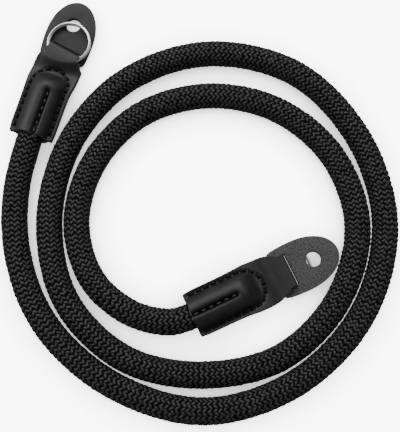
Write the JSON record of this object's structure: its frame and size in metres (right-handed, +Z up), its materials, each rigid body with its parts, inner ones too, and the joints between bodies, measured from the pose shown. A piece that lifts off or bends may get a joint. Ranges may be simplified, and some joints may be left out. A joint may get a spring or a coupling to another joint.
{
  "type": "coiled rope camera strap",
  "caption": "Round braided rope strap lying in a flat coil, with a stitched leather loop, split ring and leather pad at each end.",
  "frame": {"origin": "on the resting surface, below the middle of the box round the two leather ends with their pads and rings", "axes": "+Z up from the surface that the coil lies on, +Y away from the picture's lower edge, +X to its right"},
  "size_m": [0.1521, 0.1683, 0.0134],
  "materials": {
    "rope": "matte black braided nylon",
    "leather": "smooth semi-gloss black leather with black stitching",
    "pad": "matte dark grey leather with a suede back",
    "ring": "polished plated steel wire"
  },
  "bodies": {
    "root": {"rope": "rope", "leather_end_a": "leather", "leather_end_b": "leather", "protector_pad_a": "pad", "protector_pad_b": "pad", "split_ring_a": "ring", "split_ring_b": "ring"}
  },
  "joints": []
}
